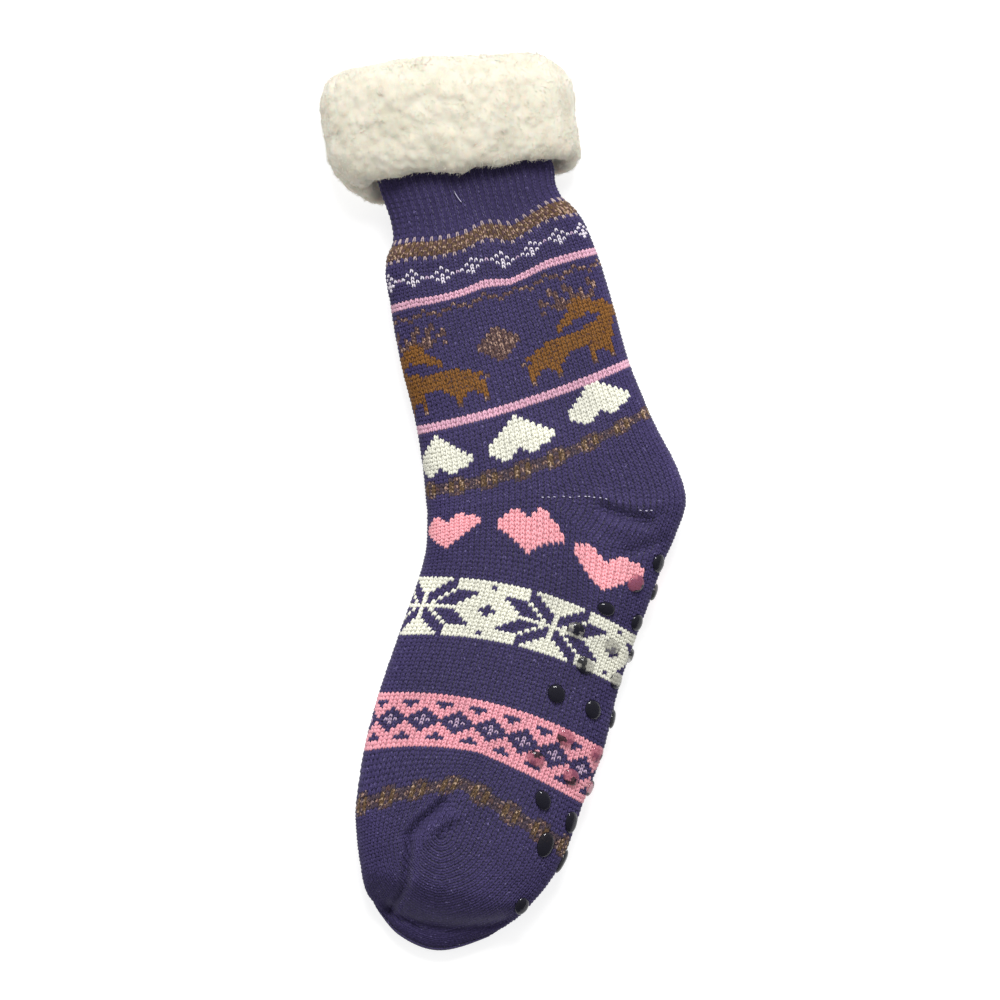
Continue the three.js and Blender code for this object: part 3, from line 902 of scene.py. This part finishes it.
FIRST_COURSE = 20  # the courses above hide under the cuff
leg_rows = np.arange(FIRST_COURSE, LEG_ROWS + 1)
leg_rings = full_rings(leg_half, leg_rows)
split = PICOT_ROW - FIRST_COURSE
knit_piece("knit_rib", grid_stitches(leg_rings[:split + 1], FIRST_COURSE, leg_yarn, rib_lift))
knit_piece("knit_leg", grid_stitches(leg_rings[split:], PICOT_ROW, leg_yarn))
foot_rings = full_rings(foot_half, np.arange(0, COURSE_ROWS + 1))
knit_piece("knit_foot", grid_stitches(foot_rings[:LATTICE_ROW + 1], 0, foot_yarn))
knit_piece("knit_forefoot", grid_stitches(foot_rings[LATTICE_ROW:], LATTICE_ROW, foot_yarn))
knit_piece("knit_heel", pouch_stitches(heel_half, False))
knit_piece("knit_toe_cap", pouch_stitches(cap_half, False))
knit_piece("knit_toe_top", pouch_stitches(top_half, True))


# Fleece of the cuff and the lining
fleece = Nodes("fleece_pile")
curl = fleece.noise(1300.0, 3.0, 0.6)
shade = fleece.ramp(fleece.noise(95.0, 4.0, 0.6),
                    [(0.3, srgb(196, 190, 172)), (0.55, srgb(209, 204, 187)), (0.75, srgb(217, 212, 197))])
fleece.set(Base_Color=shade, Roughness=0.95, Normal=fleece.bump(curl, 0.2, 0.0004))
fleece.set(Sheen_Weight=0.3, Specular_IOR_Level=0.15, Subsurface_Weight=0.3, Subsurface_Scale=0.003)
FLEECE = fleece.material
fibre = Nodes("fleece_fibre")
fibre.set(Base_Color=srgb(222, 217, 201), Roughness=0.95)
FIBRE = fibre.material


def ground():
    """Knit ground under the stitches, a closed sack with a wall; its darker yarn copies are painted shade
    between the stitches.
    """
    leg_keys = np.arange(0, LEG_ROWS + 1, 1.0)
    foot_keys = np.arange(1, COURSE_ROWS + 1, 1.0)
    turns = lambda count: np.arange(1, count + 1) / count
    vertices, faces, indices, picture = [], [], [], []
    start = 0
    for side in ("front", "back"):
        for out, inner in ((-GROUND_SINK, False), (-WALL, True)):
            parts = [nodes(leg_half(leg_keys, side), out)]
            codes = [[(leg_yarn, row) for row in range(LEG_ROWS)]]
            if side == "back":
                parts.append(nodes(heel_half(turns(16)), out))
                codes.append([(plain_yarn, 0)] * 16)
            parts.append(nodes(foot_half(foot_keys, side), out))
            codes.append([(foot_yarn, row) for row in range(COURSE_ROWS)])
            tail, count = (cap_half, 30) if side == "back" else (top_half, 10)
            parts.append(nodes(tail(turns(count)), out))
            codes.append([(plain_yarn, 0)] * count)
            lines = np.concatenate(parts)
            height, width = lines.shape[:2]
            code = [item for group in codes for item in group]
            index = start + np.arange(height * width).reshape(height, width)
            quads = np.stack([index[:-1, :-1], index[1:, :-1], index[1:, 1:], index[:-1, 1:]], -1)
            if (side == "front") != inner:
                quads = quads[..., ::-1]
            vertices.append(lines.reshape(-1, 3))
            faces.append(quads.reshape(-1, 4))
            place = np.array([inner, side == "back"]) * 0.5 + 0.01
            local = quads - start
            at = place + 0.48 * np.stack([local % width / (width - 1),
                                          local // width / (height - 1)], -1)
            picture.append(at.reshape(-1, 2))
            middle = COLUMNS_HALF // 2
            for line, (yarn_at, row) in enumerate(code):
                lining = inner and line < len(code) - count
                for step in range(COLUMNS_HALF):
                    column = middle + step if side == "back" else (middle - 1 - step) % AROUND
                    indices.append(len(SHADED_GROUNDS) if lining else yarn_at(row, column))
            start += height * width
    piece = new_object("knit_ground", np.concatenate(vertices), np.concatenate(faces),
                       SHADED_GROUNDS + [FLEECE], indices, uv=np.concatenate(picture))
    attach(piece, "root")
    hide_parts("knit_upper")


ground()


def course_at(down):
    """Course of the knit at a distance down from the rim."""
    length = float(leg("midUp", 0) - leg("midUp", CUFF_COURSES)) * LEG_LENGTH
    return np.asarray(down, float) / length * CUFF_COURSES


def rear_drop(turn):
    """Extra length of the flap on the underside; turn runs round from the top."""
    under = np.maximum(0, -np.cos(turn))
    return REAR_DROP * under ** 0.6 * (0.75 - 0.25 * np.sin(turn))


def cuff_grid(profile, around):
    """Points (profile, around, 3) of the cuff, evenly spaced round each row."""
    turn = np.linspace(0, 2 * math.pi, 361)
    angle = np.where(turn <= math.pi, math.pi / 2 - turn, turn - 3 * math.pi / 2)
    result = []
    for down, out, hangs in profile:
        drop = down + hangs * rear_drop(turn)
        back = point_on(leg_half(course_at(drop), "back"), angle, np.full(len(turn), out))
        front = point_on(leg_half(course_at(drop), "front"), angle, np.full(len(turn), out))
        line = np.where((turn <= math.pi)[:, None], back, front)
        result.append(resample(line[None], around)[0, :-1])
    return np.array(result)


def cuff_profile():
    """Profile as (down, out, hang share) in even steps, and how furry each is."""
    keys = []
    for down, out in CUFF_OUTSIDE:
        keys.append((down * (FLAP if down > 0 else RISE), out * PILE, max(0.0, down), 1.0))
    inside = -(WALL + 2 * GAP)
    keys += [(1.0, inside - LINING, 0, 1.0), (TUCK / 2, inside - LINING, 0, 1.0),
             (TUCK, inside - LINING, 0, 0.5), (TUCK + 0.5, inside - LINING / 2, 0, 0),
             (TUCK, inside, 0, 0), (TUCK / 2, inside, 0, 0), (-GAP, inside, 0, 0),
             (-GAP, 2 * GAP, 0, 0), (TUCK / 2, 2 * GAP, 0.4, 0), (FLAP - 6, 2 * GAP, 1, 0.5),
             (FLAP - 1.5, 2 * GAP, 1, 1.0)]
    keys = np.array(keys + keys[:1])
    step = np.hypot(*np.diff(keys[:, :2], axis=0).T)
    along = np.concatenate([[0], np.cumsum(step)])
    visible = along[13]
    at = np.concatenate([np.arange(0, visible, 0.85), np.linspace(visible, along[-1], 14)[:-1]])
    return np.stack([np.interp(at, along, keys[:, k]) for k in range(4)], 1)


def grid_normals(points):
    """Normals of a grid that closes both ways."""
    across = np.roll(points, -1, 1) - np.roll(points, 1, 1)
    down = np.roll(points, -1, 0) - np.roll(points, 1, 0)
    normal = np.cross(across, down)
    return normal / np.maximum(np.linalg.norm(normal, axis=2), 1e-9)[..., None]


AROUND_CUFF = 400
RIM_WIDTH = 9
# Bulges of the cuff in plan: x, y, reach and height
BULGES = [
    (-68, 187, 20, 2.6),
    (17, 180, 13, 4.6),
    (-89, 142, 17, 3.2),
    (18, 140, 9, 3.0),
    (-50, 191, 22, 1.0),
]
TUFTS = 3600
TUFT_LENGTH = 4.6
TUFT_WIDTH = 2.5
TUFT_HEIGHT = 1.5
TUFT_WINDOW = np.arange(-9, 10)  # steps of the grid round a tuft's middle
PILE_RUNS = (0.3, -0.95, 0.0)
POINT_SMOOTHING = 12
NORMAL_SMOOTHING = 4
LUMPS = [(1.0, 0.06, 4), (0.5, 0.13, 5), (0.05, 1.5, 7)]  # height, scale and seed
RIM_LUMPS = (1.1, 0.12, 8)
RIM_LOCKS = (0.7, 0.24, 15)
PILE_SINK = 0.8


def smoothed(grid, times):
    """A grid that closes both ways, averaged with its neighbours."""
    for _ in range(times):
        for axis in (0, 1):
            grid = 0.5 * grid + 0.25 * (np.roll(grid, 1, axis) + np.roll(grid, -1, axis))
    return grid


def tufts(points, normal):
    """Overlapping locks of the pile: each rises to its tip and drops past it."""
    rng = np.random.default_rng(31)
    rows, columns = points.shape[:2]
    height = np.zeros((rows, columns))
    centre_row = rng.integers(0, rows, TUFTS)
    centre_column = rng.integers(0, columns, TUFTS)
    centre = points[centre_row, centre_column]
    runs = np.array(PILE_RUNS) + 0.9 * noise_vectors(centre, 0.05, 41)
    runs += rng.normal(0, 0.25, (TUFTS, 3))
    size = rng.uniform(0.6, 1.25, TUFTS)
    calm = smoothstep(-10, 14, centre[:, 0] + 0.7 * (centre[:, 1] - 168)) * smoothstep(148, 158, centre[:, 1])
    for k in range(TUFTS):
        i = (centre_row[k] + TUFT_WINDOW)[:, None] % rows
        j = (centre_column[k] + TUFT_WINDOW)[None] % columns
        up = normal[centre_row[k], centre_column[k]]
        along = runs[k] - up * (runs[k] @ up)
        along /= np.linalg.norm(along)
        across = np.cross(up, along)
        away = points[i, j] - centre[k]
        a = (away @ along / (TUFT_LENGTH * size[k]) + 1) / 2
        b = away @ across / (TUFT_WIDTH * size[k])
        rise = np.clip(a, 0, 1) ** 0.8 * (1 - smoothstep(0.8, 1.15, a)) * np.exp(-b ** 2)
        height[i, j] = np.maximum(height[i, j], rise * size[k] * (1 - 0.45 * calm[k]))
    return height


def fleece_cuff():
    """The cuff's pile; gives its points, their normals and how furry each is."""
    profile = cuff_profile()
    points = cuff_grid(profile[:, :3], AROUND_CUFF)
    furry = profile[:, 3][:, None] * np.ones(AROUND_CUFF)
    points += (smoothed(points, POINT_SMOOTHING) - points) * (furry > 0.99)[..., None]
    normal = smoothed(grid_normals(points), NORMAL_SMOOTHING)
    normal /= np.linalg.norm(normal, axis=2)[..., None]
    flat = points.reshape(-1, 3)
    from_rim = run(profile[:, :2])
    from_rim = np.minimum(from_rim, from_rim[-1] - from_rim)[:, None] * np.ones(AROUND_CUFF)
    rim = np.exp(-(from_rim / RIM_WIDTH) ** 2).ravel()
    height = TUFT_HEIGHT * smoothed(tufts(points, normal), 1).ravel()
    for amount, scale, seed in LUMPS:
        height += amount * hash_noise(flat, scale, seed)
    amount, scale, seed = RIM_LUMPS
    edge = amount * hash_noise(flat, scale, seed)
    amount, scale, seed = RIM_LOCKS
    height += rim * (edge + amount * np.abs(hash_noise(flat, scale, seed))) - PILE_SINK
    for x, y, reach, rise in BULGES:
        height += rise * np.exp(-((flat[:, 0] - x) ** 2 + (flat[:, 1] - y) ** 2) / reach ** 2)
    moved = flat + normal.reshape(-1, 3) * (height * furry.ravel())[:, None]
    moved[:, 2] = np.maximum(moved[:, 2], 0)
    rows, columns = points.shape[:2]
    index = np.arange(rows * columns).reshape(rows, columns)
    below = np.roll(index, -1, 0)
    quads = np.stack([index, np.roll(index, -1, 1), np.roll(below, -1, 1), below], -1).reshape(-1, 4)
    row, column = np.divmod(np.arange(rows * columns), columns)
    steps = np.array([(0, 0), (1, 0), (1, 1), (0, 1)])
    picture = (np.stack([column, row], 1)[:, None] + steps) / (columns, rows)
    piece = new_object("fleece_cuff_pile", moved, quads, [FLEECE], uv=picture)
    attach(piece, "root")
    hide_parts("fleece_cuff")
    return moved, normal.reshape(-1, 3), furry.ravel()


WISPS = 14000


def fleece_wisps(base, normal, furry):
    """Short curled fibres, most of them where the pile turns down, three-sided and tapered."""
    count = WISPS
    rng = np.random.default_rng(23)
    usable = (furry > 0.9) & (base[:, 2] > 3) & (normal[:, 2] > -0.3)
    chance = usable * np.where(normal[:, 2] < 0.7, 1.0, 0.3)
    pick = rng.choice(len(base), count, p=chance / chance.sum())
    root = base[pick] + rng.normal(0, 0.35, (count, 3))
    out = normal[pick]
    comb = noise_vectors(root, 0.12, 21)
    comb -= out * np.sum(comb * out, 1)[:, None]
    side = rng.normal(0, 1, (count, 3))
    side -= out * np.sum(side * out, 1)[:, None]
    side /= np.linalg.norm(side, axis=1)[:, None]
    lean = comb * 1.6 + side * 0.5
    length = rng.uniform(0.9, 2.2, (count, 1))
    width = rng.uniform(0.06, 0.1, (count, 1))
    start = root - out * 0.5
    bend = rng.uniform(0.2, 1.0, (count, 1))
    spine = [start,
             start + length * (0.6 * out * (1 - 0.3 * bend) + 0.35 * lean),
             start + length * ((0.85 - 0.5 * bend) * out + 0.95 * lean)]
    other = np.cross(out, side)
    vertices = []
    for centre in spine[:2]:
        for k in range(3):
            angle = 2 * math.pi * k / 3
            vertices.append(centre + width * (math.cos(angle) * side + math.sin(angle) * other))
    vertices.append(spine[2])
    vertices = np.stack(vertices, 1)
    vertices[..., 2] = np.maximum(vertices[..., 2], 0)
    ring_faces = []
    for k in range(3):
        a, b = k, (k + 1) % 3
        ring_faces += [(a, b, b + 3), (a, b + 3, a + 3), (a + 3, b + 3, 6)]
    faces = (np.array(ring_faces)[None] + 7 * np.arange(count)[:, None, None]).reshape(-1, 3)
    piece = new_object("fleece_wisps", vertices.reshape(-1, 3), faces, [FIBRE])
    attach(piece, "root")


fleece_wisps(*fleece_cuff())

# Places in plan of the white flecks at the heel and of the lint
SEAM_FLECKS = [
    (2.2, -2.2), (4.8, -2.1), (7.3, -2), (11.4, -1.8), (14.1, -2.2), (18, -1.8), (20.9, -1.8),
    (22.4, -1.8), (24.6, -2.2), (27.3, -2.4), (29.9, -2.9), (44.9, -7.9), (47.5, -8.1), (49.7, -7.9),
]
LINT = [(-36.6, 132.2), (-35.8, 130.4), (-35.2, 129.4), (-34.2, 128.0), (-33.4, 127.0), (-33.0, 126.6)]
THREAD = Nodes("thread_white")
THREAD.set(Base_Color=srgb(188, 184, 204), Roughness=0.9)


def top_height(places, rings):
    """Height of the upper side at places in plan, from the nearest corners of the knit."""
    corners = rings.reshape(-1, 3)
    corners = corners[corners[:, 2] > 12]
    distance = ((places[:, None] - corners[None, :, :2]) ** 2).sum(2)
    return corners[distance.argmin(1), 2]


def rod(points, radius):
    """Five-sided thread through points, closed to a tip at both ends."""
    points = np.asarray(points, float)
    along = np.gradient(points, axis=0)
    along /= np.linalg.norm(along, axis=1)[:, None]
    side = np.cross(along, [0, 0, 1.0])
    side /= np.linalg.norm(side, axis=1)[:, None]
    up = np.cross(side, along)
    vertices = [points[0]]
    for k in range(1, len(points) - 1):
        for i in range(5):
            angle = 2 * math.pi * i / 5
            vertices.append(points[k] + radius * (math.cos(angle) * side[k] + math.sin(angle) * up[k]))
    vertices.append(points[-1])
    last = len(vertices) - 1
    faces = []
    for i in range(5):
        j = (i + 1) % 5
        faces.append((0, 1 + j, 1 + i))
        faces.append((last, last - 5 + i, last - 5 + j))
        for k in range(len(points) - 3):
            a = 1 + 5 * k
            faces += [(a + i, a + j, a + 5 + j), (a + i, a + 5 + j, a + 5 + i)]
    return np.array(vertices), np.array(faces)


def threads():
    """White flecks along the short-row seam of the heel, and a bit of lint on the rib."""
    rods = []
    places = np.array(SEAM_FLECKS, float)
    heel_rings = nodes(heel_half(np.linspace(0, 1, 61)))
    heights = top_height(places, np.concatenate([heel_rings.reshape(-1, 3), foot_rings.reshape(-1, 3)]))
    for (x, y), z in zip(places, heights):
        rods.append(rod([(x - 0.6, y, z), (x - 0.3, y + 0.1, z + 0.2), (x + 0.3, y, z + 0.2),
                         (x + 0.6, y - 0.1, z)], 0.26))
    lint = np.array(LINT)
    z = top_height(lint, leg_rings) + 0.5
    rods.append(rod(np.column_stack([lint, z]), 0.18))
    vertices, faces = [], []
    for points, sides in rods:
        faces.append(sides + sum(len(v) for v in vertices))
        vertices.append(points)
    piece = new_object("seam_flecks", np.concatenate(vertices), np.concatenate(faces), [THREAD.material])
    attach(piece, "root")


threads()


def silicone(name, colour, cover):
    """Half clear silicone of a dot, which deepens the yarn under it."""
    dot = Nodes("silicone_over_" + name)
    dot.set(Base_Color=colour, Roughness=0.5, Alpha=cover)
    dot.set(Specular_IOR_Level=0.0, Coat_Weight=1.0, Coat_IOR=1.42, Coat_Roughness=0.03)
    return dot.material


SILICONES = [silicone("purple", srgb(8, 7, 22), 0.84), silicone("white", srgb(150, 148, 140), 0.4),
             silicone("pink", srgb(165, 88, 108), 0.52)]
SILICONE_OVER = {WHITE: 1, HEART: 2, BAND: 2, LILAC: 2}
DOT_ANGLES = 32
DOT_PROFILE = [(1.0, 0.0), (1.0, 0.14), (0.97, 0.34), (0.9, 0.54), (0.78, 0.72), (0.62, 0.86),
               (0.42, 0.95), (0.2, 0.99), (0.0, 1.0)]
DOME_HEIGHT = 1.7
DOME_FOOT = 0.05
DOME_TIP = 0.02  # share of the radius that the last ring keeps


def sole_line(half, distance, lift):
    """Points at distances round the sole from the fold, lifted off the knit."""
    angles, points = fine_points(half)
    along = run(points)
    along = along[:, FINE // 2][:, None] - along
    angle = np.array([np.interp(d, along[i][::-1], angles[::-1]) for i, d in enumerate(distance)])
    return point_on(half, angle, lift)


def gripper_domes():
    """Clear domes on the solids' dots, each face tinted by the yarn under it."""
    sole_length = float(foot("backUp", FOOT_ROWS) - foot("backUp", 0)) * FOOT_LENGTH
    per_row = FOOT_ROWS / sole_length
    width = 2 * FOOT_HALF / COLUMNS_HALF
    places = []
    for line, rows in DOT_LINES:
        for side in ((1, -1) if line else (1,)):
            for row in rows:
                places.append((lambda s, r=row: foot_half(r + s, "back", foot), side * line * DOT_LINE,
                               per_row, row))
    for side in (1, -1):
        places.append((lambda s: solid_cap_half(TOE_DOT_TURN + s), side * DOT_LINE, 1 / (2 * FOOT_HALF),
                       COURSE_ROWS))
    spin = 2 * math.pi * np.arange(DOT_ANGLES) / DOT_ANGLES
    vertices, faces, indices = [], [], []
    for number, (half_at, distance, per_length, row) in enumerate(places):
        rings = []
        for radius, lift in DOT_PROFILE:
            r = max(radius, DOME_TIP) * DOT_RADIUS
            half = half_at(r * np.sin(spin) * per_length)
            rings.append(sole_line(half, distance + r * np.cos(spin),
                                   np.full(DOT_ANGLES, DOME_FOOT + lift * DOME_HEIGHT)))
        points = np.array(rings)
        points[..., 2] = np.maximum(points[..., 2], 0)
        vertices.append(points.reshape(-1, 3))
        index = number * len(DOT_PROFILE) * DOT_ANGLES + np.arange(len(DOT_PROFILE) * DOT_ANGLES)
        index = index.reshape(-1, DOT_ANGLES)
        turned = np.roll(index, -1, 1)
        faces.append(np.stack([index[:-1], turned[:-1], turned[1:], index[1:]], -1).reshape(-1, 4))
        for radius, _ in DOT_PROFILE[1:]:
            for turn in spin:
                course = int(row + radius * DOT_RADIUS * math.sin(turn) * per_row)
                column = int(COLUMNS_HALF - (distance + radius * DOT_RADIUS * math.cos(turn)) / width)
                indices.append(SILICONE_OVER.get(foot_yarn(course, column % AROUND), 0))
    piece = new_object("gripper_domes", np.concatenate(vertices), np.concatenate(faces), SILICONES,
                       indices)
    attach(piece, "root")
    names = [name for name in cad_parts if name.startswith("gripper_dot_")]
    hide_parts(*names)


gripper_domes()

# Plain pale floor and soft light
FLOOR_GREY = 0.4
FLOOR_GLOW = 0.75
FLOOR_SIZE = 6
SKY_BEHIND_TOE = 0.28  # strength of the sky towards -Y and towards +Y
SKY_BEHIND_CUFF = 0.98
floor_material = Nodes("floor_white")
floor_material.set(Base_Color=(FLOOR_GREY, FLOOR_GREY, FLOOR_GREY, 1), Roughness=0.9)
floor_material.set(Emission_Color=(1, 1, 1, 1), Emission_Strength=FLOOR_GLOW)
bpy.ops.mesh.primitive_plane_add(size=FLOOR_SIZE)
floor = bpy.context.object
floor.name = "floor"
floor.data.materials.append(floor_material.material)

world = bpy.data.worlds.new("studio")
world.use_nodes = True
sky = world.node_tree.nodes
links = world.node_tree.links
sky["Background"].inputs["Color"].default_value = (1, 1, 1, 1)
split_sky = sky.new("ShaderNodeSeparateXYZ")
links.new(sky.new("ShaderNodeTexCoord").outputs["Generated"], split_sky.inputs[0])
slope = sky.new("ShaderNodeMapRange")
slope.inputs["From Min"].default_value = -1
slope.inputs["To Min"].default_value = SKY_BEHIND_TOE
slope.inputs["To Max"].default_value = SKY_BEHIND_CUFF
links.new(split_sky.outputs["Y"], slope.inputs["Value"])
links.new(slope.outputs["Result"], sky["Background"].inputs["Strength"])
bpy.context.scene.world = world


def area_light(name, place, size, power):
    data = bpy.data.lights.new(name, "AREA")
    data.size = size
    data.energy = power
    lamp = bpy.data.objects.new(name, data)
    lamp.location = place
    bpy.context.scene.collection.objects.link(lamp)
    lamp.rotation_euler = (-Vector(place)).to_track_quat("-Z", "Y").to_euler()


area_light("key", (0.1, 1.3, 1.8), 0.8, 44)
bpy.context.scene.view_settings.view_transform = "Standard"
